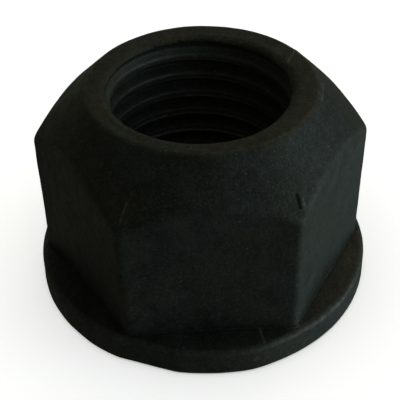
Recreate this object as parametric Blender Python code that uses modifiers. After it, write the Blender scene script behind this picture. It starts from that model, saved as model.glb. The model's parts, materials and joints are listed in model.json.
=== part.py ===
"""Hexagon nut with a collar: M22 coarse thread, 32 mm across flats, forged from one piece of steel.

Run it with  blender --background --python part.py  or from Blender's text editor.

Frame: metres, +Z up. The origin is the centre of the bearing face, +Z runs along the bore towards the
crown, and one flat of the hexagon faces -Y. The nut is one solid, so there is one object for it. The
shapes that are cut from it or joined to it stay in the cutters collection.
"""

import math

import bmesh
import bpy
from mathutils import Matrix, Vector

MM = 0.001

# Driving dimensions: the outside
ACROSS_FLATS = 32.0 * MM
TOTAL_HEIGHT = 24.3 * MM
CORNER_RADIUS = 1.0 * MM
CROWN_DIAMETER = 25.2 * MM
CHAMFER_ANGLE = math.radians(46.5)  # slope of the top chamfer, below horizontal

# Driving dimensions: the collar
COLLAR_DIAMETER = 38.2 * MM
COLLAR_RIM_HEIGHT = 3.3 * MM  # where the rim's side and the sloped top would meet
COLLAR_TOP_SLOPE = math.radians(7.0)  # forging draft, rising from the rim to the hexagon
COLLAR_EDGE_RADIUS = 0.4 * MM

# Driving dimensions: the bore and its thread
THREAD_PITCH = 2.5 * MM
THREAD_MAJOR_DIAMETER = 22.0 * MM
THREAD_MINOR_DIAMETER = 19.5 * MM
THREAD_FLANK_ANGLE = math.radians(30.0)  # of each flank, from the plane across the bore
CREST_DROP_AT_BACK = 2.30 * MM  # from the crown down to the first full crest, at +Y
MOUTH_DIAMETER = 20.5 * MM
MOUTH_ANGLE = math.radians(22.0)  # slope of the crown's countersink, below horizontal
BASE_MOUTH_DIAMETER = 23.0 * MM
BASE_MOUTH_ANGLE = math.radians(45.0)

# How finely round shapes are faceted
OUTSIDE_STEPS = 96
BORE_STEPS = 48
EDGE_ARC_STEPS = 4
CORNER_SEGMENTS = 3
TAP_STEP_OFFSET = math.radians(0.94)  # keeps the thread's facets off the countersinks' facets

OVERRUN = 1.0 * MM  # how far cutters run past the faces they cut
MERGE_DISTANCE = 0.00001
SHARP_ANGLE = math.radians(28.0)

HALF_FLATS = ACROSS_FLATS / 2
CROWN_RADIUS = CROWN_DIAMETER / 2
COLLAR_RADIUS = COLLAR_DIAMETER / 2
MINOR_RADIUS = THREAD_MINOR_DIAMETER / 2
MAJOR_RADIUS = THREAD_MAJOR_DIAMETER / 2


def clear_scene():
    """Removes every object, so that the script always starts from nothing."""
    for obj in list(bpy.data.objects):
        bpy.data.objects.remove(obj)


def new_collection(name):
    collection = bpy.data.collections.new(name)
    bpy.context.scene.collection.children.link(collection)
    return collection


def new_object(name, mesh, collection):
    obj = bpy.data.objects.new(name, mesh)
    collection.objects.link(obj)
    return obj


def hide_cutter(obj):
    obj.hide_render = True
    obj.display_type = "WIRE"


def black_steel():
    """Matte black phosphated steel."""
    material = bpy.data.materials.new("black_steel")
    material.use_nodes = True
    shader = material.node_tree.nodes["Principled BSDF"]
    shader.inputs["Base Color"].default_value = (0.020, 0.024, 0.022, 1.0)
    shader.inputs["Roughness"].default_value = 0.62
    shader.inputs["Metallic"].default_value = 0.35
    return material


def collar_top_height(radius):
    """Height of the collar's sloped top at a distance from the axis."""
    return COLLAR_RIM_HEIGHT + (COLLAR_RADIUS - radius) * math.tan(COLLAR_TOP_SLOPE)


def arc(centre_r, centre_z, radius, start, end, steps=EDGE_ARC_STEPS):
    """Points of a round edge in the (r, z) half plane, from one angle to another, in degrees."""
    points = []
    for step in range(steps + 1):
        angle = math.radians(start + (end - start) * step / steps)
        points.append((centre_r + radius * math.cos(angle), centre_z + radius * math.sin(angle)))
    return points


def turned(name, profile, steps, collection):
    """A solid of revolution about Z. The profile runs from the axis at the top, down the outside."""
    mesh = bpy.data.meshes.new(name)
    bm = bmesh.new()
    verts = [bm.verts.new((r, 0.0, z)) for r, z in profile]
    for upper, lower in zip(verts, verts[1:]):
        bm.edges.new((upper, lower))
    bm.to_mesh(mesh)
    bm.free()
    obj = new_object(name, mesh, collection)
    screw = obj.modifiers.new("turn", "SCREW")
    screw.axis = "Z"
    screw.angle = math.tau
    screw.steps = steps
    screw.render_steps = steps
    screw.use_merge_vertices = True
    screw.merge_threshold = MERGE_DISTANCE
    return obj


def hexagon_bar(collection):
    """The hexagonal body: a six-sided prism with one flat facing -Y and its long edges rounded."""
    bottom = COLLAR_RIM_HEIGHT - COLLAR_EDGE_RADIUS
    top = TOTAL_HEIGHT + OVERRUN
    corner_distance = HALF_FLATS / math.cos(math.pi / 6)
    mesh = bpy.data.meshes.new("hex_collar_nut")
    bm = bmesh.new()
    bmesh.ops.create_cone(
        bm,
        cap_ends=True,
        segments=6,
        radius1=corner_distance,
        radius2=corner_distance,
        depth=top - bottom,
        matrix=Matrix.Translation((0, 0, (top + bottom) / 2)) @ Matrix.Rotation(math.pi / 6, 4, "Z"),
    )
    weights = bm.edges.layers.float.new("bevel_weight_edge")
    for edge in bm.edges:
        along_z = abs(edge.verts[0].co.z - edge.verts[1].co.z) > MERGE_DISTANCE
        edge[weights] = 1.0 if along_z else 0.0
    bm.to_mesh(mesh)
    bm.free()
    obj = new_object("hex_collar_nut", mesh, collection)
    bevel = obj.modifiers.new("round_corners", "BEVEL")
    bevel.limit_method = "WEIGHT"
    bevel.width = CORNER_RADIUS * math.tan(math.pi / 6)
    bevel.segments = CORNER_SEGMENTS
    return obj


def crown_end(collection):
    """A turned solid that bounds the hexagon from above: countersink, flat crown and top chamfer."""
    wide = COLLAR_RADIUS + OVERRUN
    chamfer_foot = TOTAL_HEIGHT - (wide - CROWN_RADIUS) * math.tan(CHAMFER_ANGLE)
    inside_bore = MINOR_RADIUS - OVERRUN
    countersink_floor = TOTAL_HEIGHT - (MOUTH_DIAMETER / 2 - inside_bore) * math.tan(MOUTH_ANGLE)
    profile = [
        (0, countersink_floor),
        (inside_bore, countersink_floor),
        (MOUTH_DIAMETER / 2, TOTAL_HEIGHT),
        (CROWN_RADIUS, TOTAL_HEIGHT),
        (wide, chamfer_foot),
        (wide, 0),
        (0, 0),
    ]
    return turned("crown_end", profile, OUTSIDE_STEPS, collection)


def collar(collection):
    """The round collar: countersunk bearing face, rounded rim, and a top sloping up to the hexagon."""
    inside_hexagon = HALF_FLATS - OVERRUN
    hidden_top = collar_top_height(inside_hexagon)
    edge_centre = COLLAR_RADIUS - COLLAR_EDGE_RADIUS
    upper_centre = collar_top_height(COLLAR_RADIUS) - COLLAR_EDGE_RADIUS
    inside_bore = MINOR_RADIUS - OVERRUN / 2
    countersink_floor = (BASE_MOUTH_DIAMETER / 2 - inside_bore) * math.tan(BASE_MOUTH_ANGLE)
    profile = [(0, hidden_top), (inside_hexagon, hidden_top)]
    profile += arc(edge_centre, upper_centre, COLLAR_EDGE_RADIUS, 90 - math.degrees(COLLAR_TOP_SLOPE), 0)
    profile += arc(edge_centre, COLLAR_EDGE_RADIUS, COLLAR_EDGE_RADIUS, 0, -90)
    profile += [(BASE_MOUTH_DIAMETER / 2, 0), (inside_bore, countersink_floor), (0, countersink_floor)]
    return turned("collar_blank", profile, OUTSIDE_STEPS, collection)


def close_end(bm, rim, tip_z):
    """Draws the open rim of a tube in to one point on the axis."""
    extruded = bmesh.ops.extrude_edge_only(bm, edges=rim)["geom"]
    tip = [item for item in extruded if isinstance(item, bmesh.types.BMVert)]
    bmesh.ops.pointmerge(bm, verts=tip, merge_co=(0, 0, tip_z))


def tap(collection):
    """The space of the bore and its right-hand thread: one pitch of the thread, wound into a helix.

    Each turn's last edge meets the next turn's first, so the turns join into one tube, which is
    closed to a point at each end, clear of the nut.
    """
    root_half_width = THREAD_PITCH / 16
    flank_height = (MAJOR_RADIUS - MINOR_RADIUS) * math.tan(THREAD_FLANK_ANGLE)
    turns = math.ceil(TOTAL_HEIGHT / THREAD_PITCH) + 3
    groove_at_back = TOTAL_HEIGHT - CREST_DROP_AT_BACK + THREAD_PITCH / 2
    start_angle = TAP_STEP_OFFSET
    rise_to_back = THREAD_PITCH * (math.pi / 2 - start_angle) / math.tau
    first_groove = groove_at_back - rise_to_back - (turns - 2) * THREAD_PITCH
    profile = [
        (MAJOR_RADIUS, -root_half_width),
        (MAJOR_RADIUS, root_half_width),
        (MINOR_RADIUS, root_half_width + flank_height),
        (MINOR_RADIUS, THREAD_PITCH - root_half_width - flank_height),
        (MAJOR_RADIUS, THREAD_PITCH - root_half_width),
    ]
    bm = bmesh.new()
    turn_to_start = Matrix.Rotation(start_angle, 3, "Z")
    verts = [bm.verts.new(turn_to_start @ Vector((r, 0, first_groove + z))) for r, z in profile]
    section = [bm.edges.new(pair) for pair in zip(verts, verts[1:])]
    bmesh.ops.spin(
        bm,
        geom=verts + section,
        cent=(0, 0, 0),
        axis=(0, 0, 1),
        dvec=(0, 0, THREAD_PITCH / BORE_STEPS),
        angle=math.tau * turns,
        steps=BORE_STEPS * turns,
    )
    bmesh.ops.remove_doubles(bm, verts=bm.verts, dist=MERGE_DISTANCE)
    middle = TOTAL_HEIGHT / 2
    rim = [edge for edge in bm.edges if edge.is_boundary]
    lower = [edge for edge in rim if edge.verts[0].co.z < middle]
    upper = [edge for edge in rim if edge.verts[0].co.z > middle]
    close_end(bm, lower, first_groove - THREAD_PITCH)
    close_end(bm, upper, first_groove + (turns + 2) * THREAD_PITCH)
    bmesh.ops.recalc_face_normals(bm, faces=bm.faces)
    mesh = bpy.data.meshes.new("tap")
    bm.to_mesh(mesh)
    bm.free()
    return new_object("tap", mesh, collection)


def combine(obj, other, operation):
    boolean = obj.modifiers.new(f"{operation.lower()}_{other.name}", "BOOLEAN")
    boolean.operation = operation
    boolean.object = other
    boolean.solver = "EXACT"


def shade(obj):
    """Smooth shading on the round surfaces, with the real edges kept sharp."""
    obj.data.shade_smooth()
    obj.data.set_sharp_from_angle(angle=SHARP_ANGLE)


def main():
    clear_scene()
    parts = new_collection("hex_collar_nut")
    cutters = new_collection("cutters")
    nut = hexagon_bar(parts)
    steps = [
        (crown_end(cutters), "INTERSECT"),
        (collar(cutters), "UNION"),
        (tap(cutters), "DIFFERENCE"),
    ]
    for other, operation in steps:
        combine(nut, other, operation)
        hide_cutter(other)
    nut.data.materials.append(black_steel())
    shade(nut)


main()
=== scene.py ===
"""Looks of the hexagon collar nut: the fine forged surface, its black phosphate finish, light and camera.

Everything is in metres in the frame of the CAD model: +Z runs along the bore, the bearing face is at
z = 0 and one flat of the hexagon faces -Y. The nut is one piece. Its surface is one closed grid: a
column for each angle around the axis, and a row for each step along the profile, from the bearing
face around the collar and the hexagon, over the crown, and down the thread.
"""

import json
import math

import bpy
import numpy as np
from mathutils import Matrix, Vector, noise


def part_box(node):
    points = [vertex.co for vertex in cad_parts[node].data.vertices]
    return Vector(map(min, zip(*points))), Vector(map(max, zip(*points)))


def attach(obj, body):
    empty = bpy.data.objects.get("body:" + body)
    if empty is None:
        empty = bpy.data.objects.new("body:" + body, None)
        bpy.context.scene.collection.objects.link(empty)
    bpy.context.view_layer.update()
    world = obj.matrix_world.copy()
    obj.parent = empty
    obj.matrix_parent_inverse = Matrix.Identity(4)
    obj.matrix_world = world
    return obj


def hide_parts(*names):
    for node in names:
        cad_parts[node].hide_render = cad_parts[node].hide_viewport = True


NODE = "hex_collar_nut"
MM = 0.001

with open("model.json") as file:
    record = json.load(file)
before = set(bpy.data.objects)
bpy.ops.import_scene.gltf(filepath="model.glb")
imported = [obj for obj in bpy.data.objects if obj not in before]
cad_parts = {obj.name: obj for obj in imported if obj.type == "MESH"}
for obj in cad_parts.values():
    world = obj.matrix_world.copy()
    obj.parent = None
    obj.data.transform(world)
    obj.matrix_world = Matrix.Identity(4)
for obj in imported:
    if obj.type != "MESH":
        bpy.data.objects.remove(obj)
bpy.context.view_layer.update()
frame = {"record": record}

# Sizes that the frame gives
low_corner, high_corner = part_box(NODE)
mounts = {mount["name"]: mount for mount in frame["record"]["mounts"]}
TOTAL_HEIGHT = high_corner.z
COLLAR_RADIUS = (high_corner.x - low_corner.x) / 2
HALF_FLATS = abs(mounts["wrench_flat_front"]["pos_m"][1])

# Sizes of the profile
CORNER_RADIUS = 1.1 * MM
CROWN_RADIUS = 12.6 * MM
CHAMFER_ANGLE = math.radians(46.5)
COLLAR_RIM_HEIGHT = 3.3 * MM
COLLAR_TOP_SLOPE = math.radians(7.0)
THREAD_PITCH = 2.5 * MM
MAJOR_RADIUS = 11.0 * MM
MINOR_RADIUS = 9.75 * MM
THREAD_FLANK_ANGLE = math.radians(30.0)
CREST_DROP_AT_BACK = 2.30 * MM
MOUTH_RADIUS = 10.35 * MM
MOUTH_ANGLE = math.radians(22.0)
BASE_MOUTH_RADIUS = 11.5 * MM
BASE_MOUTH_ANGLE = math.radians(45.0)

# Soft edges that forging and tapping leave
CROWN_EDGE_RADIUS = 0.8 * MM
CHAMFER_EDGE_RADIUS = 1.4 * MM
COLLAR_BASE_EDGE_RADIUS = 0.4 * MM
COLLAR_TOP_EDGE_RADIUS = 0.7 * MM
COLLAR_FILLET_RADIUS = 0.25 * MM
THREAD_SOFTNESS = 0.09 * MM
MOUTH_EDGE_DROP = 0.12 * MM
MOUTH_EDGE_WIDTH = 0.55 * MM
FIRST_TURN_FILL = 0.9 * MM  # by which the groove is shallower at the crown
FIRST_TURN_REACH = 1.3 * MM  # how far down the groove stays shallower

# How the forging is a little out of true
CROWN_SHIFT = (0.15 * MM, 0.50 * MM)  # of the chamfer and crown, off the bore's axis
MOUTH_SHIFT = 0.15 * MM  # of the countersink, towards +Y
CHAMFER_EASES = (  # where the chamfer is less steep: (place, half width, angle)
    (math.radians(190), math.radians(50), math.radians(3.4)),
    (math.radians(-60), math.radians(18), math.radians(2.2)),
)
HEXAGON_FLARE = 0.14 * MM  # by which each side leans out from the collar to the chamfer
RIM_FLAT = (math.radians(-112), 0.28 * MM)  # where the rim is trimmed flat, and how deep
RIM_SWELLING = (math.radians(-77), math.radians(11), 0.20 * MM)  # its place, half width and height

# Fineness of the grid
FLAT_COLUMNS = 46  # on each flat of the hexagon
CORNER_COLUMNS = 8  # on each rounded corner
# Rows of one turn of the thread, in millimetres from the middle of its groove
THREAD_ROWS = (-0.95, -0.8, -0.68, -0.5, -0.3, -0.13, 0.0, 0.13, 0.3, 0.5, 0.68, 0.8, 0.95, 1.25)
SNAP = 0.06 * MM  # a thread row this close to a ring joins it
ROWS_OF_RUNS = (10, 6, 8, 40, 18)  # base, rim, collar's top, hexagon's side, chamfer
ROWS_OF_CORNERS = (5, 5, 4, 5, 6)  # the corner that ends each of these runs

RUBBED_CHAMFER = (math.radians(-155), math.radians(22), 1.0)  # where the chamfer's edge is rubbed
OPEN_EDGES = (4.5 * MM, 1.0 * MM)  # the collar's and crown's edges are rubbed up to here and from here
ENTRY_WEAR_DEPTH = 2.7 * MM  # how far down bolts have scuffed the thread

# Unevenness that forging leaves: (size of the hollows and swellings, how far they reach)
FORGED_WAVES = ((6.0 * MM, 0.050 * MM), (2.0 * MM, 0.022 * MM), (0.9 * MM, 0.008 * MM))
BORE_WAVE_SHARE = 0.25  # the tapped bore is smoother


# ---------------------------------------------------------------- profile helpers


def column_angles():
    """Angles of the grid's columns, closer together on the hexagon's rounded corners."""
    tangent = (HALF_FLATS - CORNER_RADIUS) * math.tan(math.pi / 6)
    flat_half = math.atan2(tangent, HALF_FLATS)
    corner_half = math.pi / 6 - flat_half
    across_flat = np.linspace(-flat_half, flat_half, FLAT_COLUMNS, endpoint=False)
    across_corner = np.linspace(-corner_half, corner_half, CORNER_COLUMNS, endpoint=False)
    sector = np.concatenate([across_flat, across_corner + math.pi / 6])
    flats = -math.pi / 2 + np.arange(6) * math.pi / 3
    return (flats[:, None] + sector[None, :]).ravel()


def hexagon_radius(angles):
    """Distance from the axis to the hexagon's side at each angle, with its corners rounded."""
    from_flat = np.mod(angles + math.pi / 2 + math.pi / 6, math.pi / 3) - math.pi / 6
    straight = HALF_FLATS / np.cos(from_flat)
    from_corner = np.abs(from_flat) - math.pi / 6
    centre = (HALF_FLATS - CORNER_RADIUS) / math.cos(math.pi / 6)
    reach = np.maximum(CORNER_RADIUS**2 - (centre * np.sin(from_corner)) ** 2, 0)
    rounded = centre * np.cos(from_corner) + np.sqrt(reach)
    tangent = math.atan2((HALF_FLATS - CORNER_RADIUS) * math.tan(math.pi / 6), HALF_FLATS)
    return np.where(np.abs(from_flat) < tangent, straight, rounded)


def turn_between(angles, place):
    """How far each angle is from a place around the nut, from -pi to pi."""
    return np.mod(angles - place + math.pi, math.tau) - math.pi


def swelling(angles, place, half_width, height):
    """A soft rise of the given height, centred on a place around the nut."""
    return height * np.exp(-((turn_between(angles, place) / half_width) ** 2))


def rim_radius(angles):
    """Distance from the axis to the collar's rim."""
    place, depth = RIM_FLAT
    flat = (COLLAR_RADIUS - depth) / np.maximum(np.cos(turn_between(angles, place)), 0.5)
    return soft_min(flat, COLLAR_RADIUS + swelling(angles, *RIM_SWELLING), 0.05 * MM)


def collar_top(radius):
    return COLLAR_RIM_HEIGHT + (COLLAR_RADIUS - radius) * math.tan(COLLAR_TOP_SLOPE)


def crown_radius(angles):
    """Distance from the bore's axis to the edge of the crown, which is a circle off that axis."""
    along = CROWN_SHIFT[0] * np.cos(angles) + CROWN_SHIFT[1] * np.sin(angles)
    across = CROWN_SHIFT[1] * np.cos(angles) - CROWN_SHIFT[0] * np.sin(angles)
    return along + np.sqrt(CROWN_RADIUS**2 - across**2)


def chamfer_height(angles, radius):
    """Height of the chamfer's cone, whose axis is off the bore's axis as the crown is."""
    from_axis = np.hypot(radius * np.cos(angles) - CROWN_SHIFT[0], radius * np.sin(angles) - CROWN_SHIFT[1])
    slope = np.tan(CHAMFER_ANGLE - sum(swelling(angles, *ease) for ease in CHAMFER_EASES))
    return TOTAL_HEIGHT - (from_axis - CROWN_RADIUS) * slope


def soft_max(a, b, softness):
    return (a + b + np.sqrt((a - b) ** 2 + softness**2)) / 2


def soft_min(a, b, softness):
    return (a + b - np.sqrt((a - b) ** 2 + softness**2)) / 2


def unit(vectors):
    return vectors / np.linalg.norm(vectors, axis=-1, keepdims=True)


def round_corner(before, corner, after, radius, rows):
    """Rows of an arc that rounds the corner between two straight runs, for every column at once."""
    back = unit(before - corner)
    ahead = unit(after - corner)
    half = np.arccos(np.clip((back * ahead).sum(-1), -1, 1)) / 2
    tangent = (radius / np.tan(half))[:, None]
    centre = corner + unit(back + ahead) * (radius / np.sin(half))[:, None]
    first = corner + back * tangent - centre
    last = corner + ahead * tangent - centre
    swept = (math.pi - 2 * half)[:, None]
    arc_rows = []
    for step in range(rows + 1):
        part = step / rows
        turned = (np.sin((1 - part) * swept) * first + np.sin(part * swept) * last) / np.sin(swept)
        arc_rows.append(centre + turned)
    return arc_rows


def straight_run(first, last, rows):
    """Rows between two points, leaving both points out."""
    return [first + (last - first) * step / (rows + 1) for step in range(1, rows + 1)]


def point(radius, height, like):
    """One (radius, height) point for every column."""
    return np.stack([np.broadcast_to(radius, like.shape), np.broadcast_to(height, like.shape)], -1)


# ---------------------------------------------------------------- the nut's surface


def outside_rows(angles):
    """Rows from the bearing face, around the collar and the hexagon, to the edge of the crown."""
    side = hexagon_radius(angles)
    flared = side + HEXAGON_FLARE
    rim = rim_radius(angles)
    base_inner = point(BASE_MOUTH_RADIUS, 0, angles)
    base_outer = point(rim, 0, angles)
    rim_top = point(rim, collar_top(rim), angles)
    foot = point(side, collar_top(side), angles)
    shoulder = point(flared, chamfer_height(angles, flared), angles)
    crown_edge = point(crown_radius(angles), TOTAL_HEIGHT, angles)
    crown_inner = point(MOUTH_RADIUS, TOTAL_HEIGHT, angles)
    profile = (base_inner, base_outer, rim_top, foot, shoulder, crown_edge, crown_inner)
    radii = (
        COLLAR_BASE_EDGE_RADIUS,
        COLLAR_TOP_EDGE_RADIUS,
        COLLAR_FILLET_RADIUS,
        CHAMFER_EDGE_RADIUS,
        CROWN_EDGE_RADIUS,
    )
    corners = [
        round_corner(*profile[number : number + 3], radius, count)
        for number, (radius, count) in enumerate(zip(radii, ROWS_OF_CORNERS))
    ]
    rows = []
    last = base_inner
    for corner_rows, run in zip(corners, ROWS_OF_RUNS):
        rows += straight_run(last, corner_rows[0], run)
        rows += corner_rows
        last = corner_rows[-1]
    return rows


def bore_radius(angles, heights):
    """Radius of the bore: the helical thread, opened at each end by a countersink."""
    groove_at_back = TOTAL_HEIGHT - CREST_DROP_AT_BACK + THREAD_PITCH / 2
    groove = groove_at_back + THREAD_PITCH * (angles - math.pi / 2) / math.tau
    off_groove = np.mod(heights - groove + THREAD_PITCH / 2, THREAD_PITCH) - THREAD_PITCH / 2
    flank = MAJOR_RADIUS - (np.abs(off_groove) - THREAD_PITCH / 16) / math.tan(THREAD_FLANK_ANGLE)
    below_crown = (TOTAL_HEIGHT - heights) / FIRST_TURN_REACH
    root = MAJOR_RADIUS - FIRST_TURN_FILL * np.exp(-(below_crown**2))
    thread = soft_min(flank, root, THREAD_SOFTNESS * 2)
    thread = soft_max(thread, MINOR_RADIUS, THREAD_SOFTNESS * 2)
    mouth = MOUTH_RADIUS + MOUTH_SHIFT * np.sin(angles)
    crown_cone = mouth - (TOTAL_HEIGHT - heights) / math.tan(MOUTH_ANGLE)
    base_cone = BASE_MOUTH_RADIUS - heights / math.tan(BASE_MOUTH_ANGLE)
    return soft_max(soft_max(thread, crown_cone, THREAD_SOFTNESS), base_cone, THREAD_SOFTNESS)


def crown_rows(angles, outer):
    """Rows across the flat crown, and the soft edge of the bore's mouth."""
    mouth = bore_radius(angles, np.full_like(angles, TOTAL_HEIGHT))
    lip = point(mouth, TOTAL_HEIGHT - MOUTH_EDGE_DROP, angles)
    level = point(mouth + MOUTH_EDGE_WIDTH, TOTAL_HEIGHT, angles)
    rounding = [
        point(mouth + MOUTH_EDGE_WIDTH * share, TOTAL_HEIGHT - MOUTH_EDGE_DROP * (1 - share) ** 2, angles)
        for share in (0.7, 0.4, 0.2)
    ]
    return straight_run(outer, level, 6) + [level] + rounding + [lip]


class Grid:
    """Collects the vertices and faces of the nut's closed surface."""

    def __init__(self, angles):
        self.angles = angles
        self.points = []
        self.faces = []

    def add_row(self, profile):
        """Adds one vertex for each column, and returns their numbers."""
        first = len(self.points)
        for angle, (radius, height) in zip(self.angles, profile):
            self.points.append((radius * math.cos(angle), radius * math.sin(angle), height))
        return list(range(first, len(self.points)))

    def add_face(self, corners):
        """Adds a face, leaving out corners that are the same vertex."""
        ring = [c for c, following in zip(corners, corners[1:] + corners[:1]) if c != following]
        if len(ring) >= 3:
            self.faces.append(ring)

    def join(self, row, following):
        columns = len(self.angles)
        for column in range(columns):
            right = (column + 1) % columns
            self.add_face([row[column], row[right], following[right], following[column]])


def add_bore(grid, top_ring, base_ring):
    """Adds the thread. Its rows climb with the helix, and end where they meet the top or base ring."""
    angles = grid.angles
    columns = len(angles)
    per_turn = len(THREAD_ROWS)
    climb = THREAD_PITCH * (angles - angles[0]) / math.tau
    groove_at_back = TOTAL_HEIGHT - CREST_DROP_AT_BACK + THREAD_PITCH / 2
    groove_at_start = groove_at_back + THREAD_PITCH * (angles[0] - math.pi / 2) / math.tau
    turns_below = math.ceil(groove_at_start / THREAD_PITCH) + 2
    turns = turns_below + math.ceil((TOTAL_HEIGHT - groove_at_start) / THREAD_PITCH) + 2
    rows = []
    for turn in range(turns):
        for offset in THREAD_ROWS:
            heights = groove_at_start + (turn - turns_below) * THREAD_PITCH + offset * MM + climb
            radii = bore_radius(angles, heights)
            row = []
            for column in range(columns):
                if heights[column] > TOTAL_HEIGHT - MOUTH_EDGE_DROP - SNAP:
                    row.append(top_ring[column])
                elif heights[column] < SNAP:
                    row.append(base_ring[column])
                else:
                    angle = angles[column]
                    radius = radii[column]
                    row.append(len(grid.points))
                    grid.points.append((radius * math.cos(angle), radius * math.sin(angle), heights[column]))
            rows.append(row)
    for number in range(len(rows) - per_turn - 1):
        lower, upper = rows[number], rows[number + 1]
        lower_next, upper_next = rows[number + per_turn], rows[number + per_turn + 1]
        for column in range(columns - 1):
            grid.add_face([lower[column], upper[column], upper[column + 1], lower[column + 1]])
        grid.add_face([lower[-1], upper[-1], upper_next[0], lower_next[0]])


def nut_grid():
    angles = column_angles()
    grid = Grid(angles)
    base_ring = grid.add_row(point(BASE_MOUTH_RADIUS, 0, angles))
    outer = outside_rows(angles)
    last = base_ring
    for profile in outer + crown_rows(angles, outer[-1]):
        row = grid.add_row(profile)
        grid.join(last, row)
        last = row
    add_bore(grid, last, base_ring)
    return grid


def around(angle, radius, height):
    """A point given by its angle from +X in degrees, and its distance and height in millimetres."""
    turn = math.radians(angle)
    return np.array([radius * math.cos(turn), radius * math.sin(turn), height]) * MM


# Knocks from handling: (start, end, half width, depth, height of the burr beside it)
KNOCKS = (
    (around(-56.9, 16.8, 20.0), around(-57.6, 17.5, 19.3), 0.24 * MM, -0.18 * MM, 0.0),
    (around(-120.2, 17.7, 18.9), around(-120.1, 16.4, 20.3), 0.22 * MM, 0.05 * MM, 0.04 * MM),
    (around(23.3, 10.8, 24.3), around(31.7, 12.8, 24.2), 0.22 * MM, 0.04 * MM, 0.03 * MM),
    (around(2.0, 13.3, 23.8), around(-13.4, 13.1, 24.0), 0.22 * MM, 0.03 * MM, 0.02 * MM),
    (around(-71.9, 17.0, 3.7), around(-72.5, 18.8, 3.3), 0.22 * MM, 0.05 * MM, 0.03 * MM),
    (around(-75.5, 19.1, 1.9), around(-76.5, 19.1, 1.5), 0.35 * MM, 0.05 * MM, 0.03 * MM),
)

# Light lines in the coat: (start, end, half width in millimetres, strength). Most are bare steel that the
# knocks leave; the first is also a painted highlight on the lit flank of a knock's raised ridge, and the
# last is a painted highlight along the collar rim's top edge
BARE_AND_HIGHLIGHT_LINES = (
    # bare steel and a painted highlight on the lit flank of the knock's ridge
    (around(-56.5, 17.0, 19.8), around(-56.9, 17.4, 19.4), 0.20, 1.0),
    (around(-120.2, 17.7, 18.9), around(-120.0, 16.4, 20.3), 0.20, 0.8),
    (around(23.3, 10.8, 24.3), around(31.7, 12.9, 24.1), 0.22, 1.0),
    (around(2.0, 13.3, 23.8), around(-13.4, 13.1, 24.0), 0.22, 0.6),
    (around(-71.9, 17.0, 3.7), around(-72.5, 18.8, 3.3), 0.20, 0.7),
    (around(-75.5, 19.1, 1.9), around(-76.3, 19.1, 1.6), 0.30, 0.35),
    # painted highlight along the collar rim's top edge
    (around(-63.0, 18.2, 3.5), around(-60.5, 18.5, 3.4), 0.16, 0.4),
)
# Dark lines painted on the coat: (start, end, half width in millimetres, strength). The first is a painted
# shadow on the shaded side of the knock's raised ridge; the second darkens part of the nick on the crown
SHADOW_AND_DARK_LINES = (
    (around(-57.8, 16.6, 20.3), around(-58.6, 17.5, 19.3), 0.24, 0.8),
    (around(29.0, 11.0, 24.3), around(31.0, 11.3, 24.3), 0.20, 0.5),
)


def vertex_array(mesh, name, collection=None):
    values = np.empty(len(mesh.vertices) * 3, np.float32)
    (collection or mesh.vertices).foreach_get(name, values)
    return values.reshape(-1, 3).astype(float)


def roughen(mesh):
    """Moves the vertices along their normals: forged waves everywhere, and knocks where they are.

    The bearing face stays flat on the floor.
    """
    places = vertex_array(mesh, "co")
    normals = vertex_array(mesh, "vector", mesh.vertex_normals)
    radii = np.hypot(places[:, 0], places[:, 1])
    in_bore = radii < MAJOR_RADIUS + 0.1 * MM
    lift = np.zeros(len(places))
    for wave, reach in FORGED_WAVES:
        lift += reach * np.array([noise.noise(Vector(place / wave)) for place in places])
    lift *= np.where(in_bore, BORE_WAVE_SHARE, 1.0)
    for start, end, half_width, depth, burr in KNOCKS:
        along = end - start
        share = np.clip((places - start) @ along / (along @ along), 0, 1)
        away = places - start - share[:, None] * along
        distance = np.linalg.norm(away, axis=1)
        side = np.sign(np.einsum("ij,ij->i", np.cross(along, normals), away))
        lift -= depth * np.exp(-((distance / half_width) ** 2))
        lift += burr * np.exp(-(((distance - 1.6 * half_width) / half_width) ** 2)) * (side > 0)
    lift[places[:, 2] < 0.01 * MM] = 0.0
    places += normals * lift[:, None]
    mesh.vertices.foreach_set("co", places.astype(np.float32).ravel())
    mesh.update()


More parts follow.
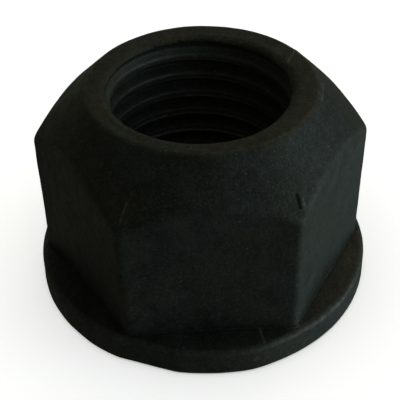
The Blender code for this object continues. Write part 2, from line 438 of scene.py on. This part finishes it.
def mark_wear_and_crease_shade(mesh):
    """Stores where the coat is worn: where the surface bends outwards, and where bolts enter the thread.

    Painted shade darkens the creases, where the surface bends inwards.
    """

    def store(name, values):
        attribute = mesh.attributes.new(name, "FLOAT", "POINT")
        attribute.data.foreach_set("value", values.astype(np.float32))

    places = vertex_array(mesh, "co")
    normals = vertex_array(mesh, "vector", mesh.vertex_normals)
    ends = np.empty(len(mesh.edges) * 2, np.int32)
    mesh.edges.foreach_get("vertices", ends)
    first, second = ends.reshape(-1, 2).T
    step = places[second] - places[first]
    length_squared = np.maximum((step**2).sum(1), (0.05 * MM) ** 2)
    neighbours = np.bincount(first, minlength=len(places)) + np.bincount(second, minlength=len(places))

    def spread(from_first, from_second):
        total = np.bincount(first, from_first, len(places)) + np.bincount(second, from_second, len(places))
        return total / neighbours

    bend = spread(
        -2 * (step * normals[first]).sum(1) / length_squared,
        2 * (step * normals[second]).sum(1) / length_squared,
    )
    for _ in range(2):
        bend = (bend + spread(bend[second], bend[first])) / 2
    worn = np.clip(bend * MM, 0, 1)
    in_bore = np.hypot(places[:, 0], places[:, 1]) < MAJOR_RADIUS + 0.1 * MM
    below_crown = TOTAL_HEIGHT - places[:, 2]
    past_mouth = np.clip(below_crown / (0.8 * MM) - 0.4, 0, 1)
    sheltered = (places[:, 2] > OPEN_EDGES[0]) & (below_crown > OPEN_EDGES[1])
    rubbed = swelling(np.arctan2(places[:, 1], places[:, 0]), *RUBBED_CHAMFER)
    store("worn", worn * np.where(in_bore, past_mouth, np.where(sheltered, 0.2 + 2 * rubbed, 1)))
    # painted shade: how far the surface bends inwards, for darkening the creases
    store("painted_crease_shade", np.where(in_bore, 0, np.clip(-bend * MM, 0, 1)))
    store("scuffed", in_bore * past_mouth * np.exp(-((below_crown / ENTRY_WEAR_DEPTH) ** 4)))


def build_nut():
    grid = nut_grid()
    mesh = bpy.data.meshes.new("nut")
    mesh.from_pydata(grid.points, [], grid.faces)
    mesh.update()
    roughen(mesh)
    mark_wear_and_crease_shade(mesh)
    mesh.shade_smooth()
    obj = bpy.data.objects.new("nut", mesh)
    bpy.context.scene.collection.objects.link(obj)
    bpy.context.view_layer.update()
    return obj


# ---------------------------------------------------------------- finish


# Places of the colour sockets on a Mix node, which has sockets of the same names for other data
MIX_FIRST_COLOUR = 6
MIX_SECOND_COLOUR = 7
MIX_COLOUR_RESULT = 2


class NodeMaterial:
    """A node material with one Principled BSDF, and short ways to add what feeds it."""

    def __init__(self, name):
        self.material = bpy.data.materials.new(name)
        self.material.use_nodes = True
        self.tree = self.material.node_tree
        self.shader = self.tree.nodes["Principled BSDF"]

    def connect(self, source, target):
        self.tree.links.new(source, target)

    def feed(self, target, value):
        """Sets a socket to a constant, or links it to another socket."""
        if isinstance(value, bpy.types.NodeSocket):
            self.connect(value, target)
        else:
            target.default_value = value

    def millimetres(self):
        """Object coordinates, in millimetres."""
        coordinates = self.tree.nodes.new("ShaderNodeTexCoord")
        scale = self.tree.nodes.new("ShaderNodeVectorMath")
        scale.operation = "SCALE"
        scale.inputs["Scale"].default_value = 1 / MM
        self.connect(coordinates.outputs["Object"], scale.inputs[0])
        return scale.outputs[0]

    def noise(self, vector, size, detail=3.0, roughness=0.55, distortion=0.0):
        """Noise whose features are about the given size in millimetres."""
        node = self.tree.nodes.new("ShaderNodeTexNoise")
        self.connect(vector, node.inputs["Vector"])
        node.inputs["Scale"].default_value = 1 / size
        node.inputs["Detail"].default_value = detail
        node.inputs["Roughness"].default_value = roughness
        node.inputs["Distortion"].default_value = distortion
        return node.outputs[0]

    def cells(self, vector, size):
        """Distance from the nearest of scattered points, and a random value for each point."""
        node = self.tree.nodes.new("ShaderNodeTexVoronoi")
        self.connect(vector, node.inputs["Vector"])
        node.inputs["Scale"].default_value = 1 / size
        red = self.tree.nodes.new("ShaderNodeSeparateColor")
        self.connect(node.outputs["Color"], red.inputs[0])
        return node.outputs["Distance"], red.outputs[0]

    def attribute(self, name):
        node = self.tree.nodes.new("ShaderNodeAttribute")
        node.attribute_name = name
        return node.outputs["Fac"]

    def math(self, operation, first, second=0.0, third=0.0):
        node = self.tree.nodes.new("ShaderNodeMath")
        node.operation = operation
        for socket, value in zip(node.inputs, (first, second, third)):
            self.feed(socket, value)
        return node.outputs[0]

    def ramp(self, value, low, high, to_low=0.0, to_high=1.0):
        """A smooth step from to_low to to_high while the value goes from low to high."""
        node = self.tree.nodes.new("ShaderNodeMapRange")
        node.interpolation_type = "SMOOTHSTEP"
        for socket, setting in zip(node.inputs, (value, low, high, to_low, to_high)):
            self.feed(socket, setting)
        return node.outputs[0]

    def vector_math(self, operation, first, second):
        node = self.tree.nodes.new("ShaderNodeVectorMath")
        node.operation = operation
        self.feed(node.inputs[0], first)
        self.feed(node.inputs[1], second)
        return node.outputs["Value" if operation in ("DOT_PRODUCT", "LENGTH") else "Vector"]

    def line(self, place, start, end, half_width):
        """1 on the line between two points given in metres, and 0 beyond its half width in millimetres."""
        first = start / MM
        along = end / MM - first
        offset = self.vector_math("SUBTRACT", place, first)
        share = self.vector_math("DOT_PRODUCT", offset, along / along.length_squared)
        share = self.math("MINIMUM", self.math("MAXIMUM", share, 0.0), 1.0)
        nearest = self.tree.nodes.new("ShaderNodeVectorMath")
        nearest.operation = "SCALE"
        nearest.inputs[0].default_value = along
        self.connect(share, nearest.inputs["Scale"])
        away = self.vector_math("SUBTRACT", offset, nearest.outputs[0])
        distance = self.vector_math("LENGTH", away, (0, 0, 0))
        return self.ramp(distance, half_width, 0.3 * half_width)

    def mix(self, share, first, second):
        """A colour between two colours."""
        node = self.tree.nodes.new("ShaderNodeMix")
        node.data_type = "RGBA"
        self.feed(node.inputs["Factor"], share)
        self.feed(node.inputs[MIX_FIRST_COLOUR], first)
        self.feed(node.inputs[MIX_SECOND_COLOUR], second)
        return node.outputs[MIX_COLOUR_RESULT]

    def bump(self, height, reach):
        """Bump whose height, from 0 to 1, stands for that many metres."""
        node = self.tree.nodes.new("ShaderNodeBump")
        node.inputs["Distance"].default_value = reach
        self.connect(height, node.inputs["Height"])
        return node.outputs["Normal"]


# Colours of the coat
DARK_COAT = (0.0085, 0.0125, 0.0120, 1)
LIGHT_COAT = (0.0260, 0.0330, 0.0300, 1)
OLIVE_COAT = (0.0250, 0.0265, 0.0140, 1)
RUBBED_COAT = (0.066, 0.076, 0.070, 1)
# also the colour of the painted highlights on a knock's ridge and the rim's edge
BARE_STEEL_AND_HIGHLIGHT = (0.16, 0.165, 0.15, 1)
# also the colour of the painted shade in creases and of the dark lines
DEEP_COAT_AND_SHADE = (0.0050, 0.0070, 0.0060, 1)
DUST = (0.120, 0.125, 0.105, 1)

# Sizes of the coat's features, in millimetres
PATCH_SIZE = 3.2
TINT_SIZE = 7.5
GRAIN_SIZE = 0.26
DUST_SPACING = 0.75
BREAK_UP_SIZE = 0.9
GLEAM_SIZE = 0.6
GLOSS_SIZE = 1.6
RELIEF_SIZE = 0.75

# How the coat reflects
GLEAM_RANGE = (0.40, 0.60)  # specular level from its dull to its bright grain
ROUGHNESS_RANGE = (0.48, 0.62)
POLISH_SHINE = 0.2  # added to the specular level where the coat is worn or bare
POLISH_ROUGHNESS = -0.22  # and to the roughness
# how much the painted shade and dark lines dull the shine
SHADE_AND_DARK_LINE_DULLS = -0.9
RELIEF_REACH = 0.050 * MM


def marks(coat, place, nut, lines):
    """1 on the given lines, whose ends are moved onto the nut's surface, and 0 elsewhere."""
    mask = 0.0
    for start, end, half_width, strength in lines:
        ends = [nut.closest_point_on_mesh(Vector(end_point))[1] for end_point in (start, end)]
        line = coat.math("MULTIPLY", coat.line(place, *ends, half_width), strength)
        mask = coat.math("MAXIMUM", mask, line)
    return mask


def black_phosphate(nut):
    """Matte black phosphate over forged steel: mottled, grainy, rubbed lighter along its edges; painted
    shade darkens its creases, and a few lines add painted shadow and painted highlights.
    """
    coat = NodeMaterial("black_phosphate")
    place = coat.millimetres()

    # The coat itself: patches, an olive tint, fine grain and dust
    patches = coat.ramp(coat.noise(place, PATCH_SIZE, 4.0, 0.6, 0.4), 0.34, 0.66)
    colour = coat.mix(patches, DARK_COAT, LIGHT_COAT)
    tint = coat.ramp(coat.noise(place, TINT_SIZE, 2.0), 0.42, 0.68, 0.0, 0.7)
    colour = coat.mix(tint, colour, OLIVE_COAT)
    grain = coat.noise(place, GRAIN_SIZE, 3.0, 0.7)
    colour = coat.mix(coat.ramp(grain, 0.52, 0.74, 0.0, 0.7), colour, RUBBED_COAT)
    colour = coat.mix(coat.ramp(grain, 0.47, 0.28, 0.0, 0.55), colour, DEEP_COAT_AND_SHADE)
    distance, chance = coat.cells(place, DUST_SPACING)
    speck = coat.math("LESS_THAN", distance, coat.ramp(chance, 0.55, 1.0, 0.0, 0.15))
    colour = coat.mix(coat.math("MULTIPLY", speck, 0.75), colour, DUST)

    # Wear along open edges, scuffs at the bore's mouth, painted shade in creases, and knocks with painted
    # shadow and highlights beside them
    break_up = coat.ramp(coat.noise(place, BREAK_UP_SIZE, 4.0, 0.65), 0.35, 0.7, 0.25, 1.0)
    worn = coat.math("MULTIPLY", coat.ramp(coat.attribute("worn"), 0.3, 0.9), break_up)
    colour = coat.mix(coat.math("MULTIPLY", worn, 0.45), colour, RUBBED_COAT)
    scuffed = coat.math("MULTIPLY", coat.attribute("scuffed"), coat.ramp(grain, 0.38, 0.62, 0.45, 1.0))
    colour = coat.mix(scuffed, colour, RUBBED_COAT)
    # painted shade: darker coat in the creases, where the surface bends inwards
    shade_in_creases = coat.ramp(coat.attribute("painted_crease_shade"), 0.1, 1.0, 0.0, 0.45)
    painted_shade_and_dark_lines = coat.math("MAXIMUM", shade_in_creases, marks(coat, place, nut, SHADOW_AND_DARK_LINES))
    colour = coat.mix(painted_shade_and_dark_lines, colour, DEEP_COAT_AND_SHADE)
    # bare steel in the knocks' lines, and painted highlights on a knock's lit flank and along the rim's top
    # edge
    bare_and_highlight = coat.math("MULTIPLY", marks(coat, place, nut, BARE_AND_HIGHLIGHT_LINES), break_up)
    colour = coat.mix(bare_and_highlight, colour, BARE_STEEL_AND_HIGHLIGHT)
    coat.feed(coat.shader.inputs["Base Color"], colour)

    # How it reflects: bare and worn places are smoother, and the painted shade and dark lines hardly shine
    polish = coat.math("MAXIMUM", worn, bare_and_highlight)
    sparkle = coat.math("ADD", grain, coat.noise(place, GLEAM_SIZE, 2.0))
    gleam = coat.ramp(sparkle, 0.80, 1.20, *GLEAM_RANGE)
    undarkened = coat.math("MULTIPLY_ADD", painted_shade_and_dark_lines, SHADE_AND_DARK_LINE_DULLS, 1.0)
    shine = coat.math("MULTIPLY_ADD", polish, POLISH_SHINE, coat.math("MULTIPLY", gleam, undarkened))
    coat.feed(coat.shader.inputs["Specular IOR Level"], shine)
    matte = coat.ramp(coat.noise(place, GLOSS_SIZE, 3.0, 0.6), 0.3, 0.7, *ROUGHNESS_RANGE)
    roughness = coat.math("MULTIPLY_ADD", polish, POLISH_ROUGHNESS, matte)
    coat.feed(coat.shader.inputs["Roughness"], roughness)
    height = coat.math("MULTIPLY_ADD", coat.noise(place, RELIEF_SIZE, 2.0), 0.6, grain)
    coat.feed(coat.shader.inputs["Normal"], coat.bump(height, RELIEF_REACH))
    return coat.material


# ---------------------------------------------------------------- stage, light and camera

# Directions are (degrees towards +X from -Y, degrees above the horizon)
AMBIENT_LIGHT = (0.0610, 0.0620, 0.0470)
WINDOW = {"direction": (76, -1), "tightness": 7.5, "colour": (1.12, 1.43, 1.46)}
BACK_LIGHT = {"direction": (144, 49), "tightness": 40.0, "colour": (1.22, 1.04, 0.62)}
FAR_WALL = {"direction": (180, -3), "tightness": 8.0, "colour": (0.170, 0.190, 0.130)}


def towards(direction):
    turn, rise = (math.radians(part) for part in direction)
    return Vector((math.cos(rise) * math.sin(turn), -math.cos(rise) * math.cos(turn), math.sin(rise)))


def add_world():
    """A dim studio: a broad soft window beside the nut, a small light high behind it, a pale far wall."""
    world = bpy.data.worlds.new("studio")
    bpy.context.scene.world = world
    world.use_nodes = True
    tree = world.node_tree
    coordinates = tree.nodes.new("ShaderNodeTexCoord")
    total = None
    for light in (WINDOW, BACK_LIGHT, FAR_WALL):
        facing = tree.nodes.new("ShaderNodeVectorMath")
        facing.operation = "DOT_PRODUCT"
        tree.links.new(coordinates.outputs["Generated"], facing.inputs[0])
        facing.inputs[1].default_value = towards(light["direction"])
        falloff = tree.nodes.new("ShaderNodeMath")
        falloff.operation = "MULTIPLY_ADD"
        tree.links.new(facing.outputs["Value"], falloff.inputs[0])
        falloff.inputs[1].default_value = light["tightness"]
        falloff.inputs[2].default_value = -light["tightness"]
        glow = tree.nodes.new("ShaderNodeMath")
        glow.operation = "EXPONENT"
        tree.links.new(falloff.outputs[0], glow.inputs[0])
        coloured = tree.nodes.new("ShaderNodeVectorMath")
        coloured.operation = "MULTIPLY_ADD"
        tree.links.new(glow.outputs[0], coloured.inputs[0])
        coloured.inputs[1].default_value = light["colour"]
        if total is None:
            coloured.inputs[2].default_value = AMBIENT_LIGHT
        else:
            tree.links.new(total, coloured.inputs[2])
        total = coloured.outputs[0]
    tree.links.new(total, tree.nodes["Background"].inputs["Color"])


def show_only_to_camera(obj):
    """Keeps a white surface from lighting the black nut, as black flags do in a studio."""
    obj.visible_diffuse = False
    obj.visible_glossy = False
    obj.visible_shadow = False
    obj.visible_transmission = False


def glowing_white(name, glow):
    white = NodeMaterial(name)
    white.shader.inputs["Base Color"].default_value = (0.9, 0.9, 0.9, 1)
    white.shader.inputs["Roughness"].default_value = 0.9
    white.shader.inputs["Specular IOR Level"].default_value = 0.0
    white.shader.inputs["Emission Color"].default_value = (1, 1, 1, 1)
    white.shader.inputs["Emission Strength"].default_value = glow
    return white.material


FLOOR_SIZE = 6.0
FLOOR_GLOW = 0.42
SURROUND_RADIUS = 2.2  # small enough to lie inside a short far clip distance
SURROUND_GLOW = 1.0
FLOOR_LIGHT_SIZE = 1.2
FLOOR_LIGHT_HEIGHT = 0.8
FLOOR_LIGHT_POWER = 5.5


def add_stage():
    """A pale floor and a pale surround, with a light of their own that only the floor receives."""
    bpy.ops.mesh.primitive_plane_add(size=FLOOR_SIZE)
    floor = bpy.context.active_object
    floor.name = "floor"
    floor.data.materials.append(glowing_white("floor", FLOOR_GLOW))
    bpy.ops.mesh.primitive_uv_sphere_add(segments=64, ring_count=32, radius=SURROUND_RADIUS)
    surround = bpy.context.active_object
    surround.name = "surround"
    surround.data.materials.append(glowing_white("surround", SURROUND_GLOW))
    for piece in (floor, surround):
        show_only_to_camera(piece)
    data = bpy.data.lights.new("floor_light", "AREA")
    data.shape = "DISK"
    data.size = FLOOR_LIGHT_SIZE
    data.energy = FLOOR_LIGHT_POWER
    light = bpy.data.objects.new("floor_light", data)
    light.location = (0, 0, FLOOR_LIGHT_HEIGHT)
    bpy.context.scene.collection.objects.link(light)
    receivers = bpy.data.collections.new("floor_light_receivers")
    receivers.objects.link(floor)
    light.light_linking.receiver_collection = receivers


CAMERA_RISE = math.radians(37.91)
CAMERA_TURN = math.radians(-2.5)
CAMERA_ROLL = math.radians(-0.92)
CAMERA_TILT = 0.02298
CAMERA_PAN = 0.00222
CAMERA_DISTANCE = 117.6 * MM
CAMERA_LENS = 92.53
SENSOR_WIDTH = 36.0


def add_camera():
    """Looks down at the middle of the nut, with the small tilt, pan and roll of a hand-held shot."""
    data = bpy.data.cameras.new("camera")
    data.sensor_width = SENSOR_WIDTH
    data.lens = CAMERA_LENS
    data.clip_start = 0.01
    data.clip_end = 20
    camera = bpy.data.objects.new("camera", data)
    aim = Matrix.Translation((0, 0, TOTAL_HEIGHT / 2)) @ Matrix.Rotation(CAMERA_TURN, 4, "Z")
    look = Matrix.Rotation(math.pi / 2 - CAMERA_RISE, 4, "X") @ Matrix.Translation((0, 0, CAMERA_DISTANCE))
    adjust = (
        Matrix.Rotation(-CAMERA_TILT, 4, "X")
        @ Matrix.Rotation(CAMERA_PAN, 4, "Y")
        @ Matrix.Rotation(CAMERA_ROLL, 4, "Z")
    )
    camera.matrix_world = aim @ look @ adjust
    bpy.context.scene.collection.objects.link(camera)
    bpy.context.scene.camera = camera


nut = build_nut()
nut.data.materials.append(black_phosphate(nut))
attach(nut, "root")
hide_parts(NODE)
add_world()
add_stage()
add_camera()
bpy.context.scene.view_settings.view_transform = "Standard"
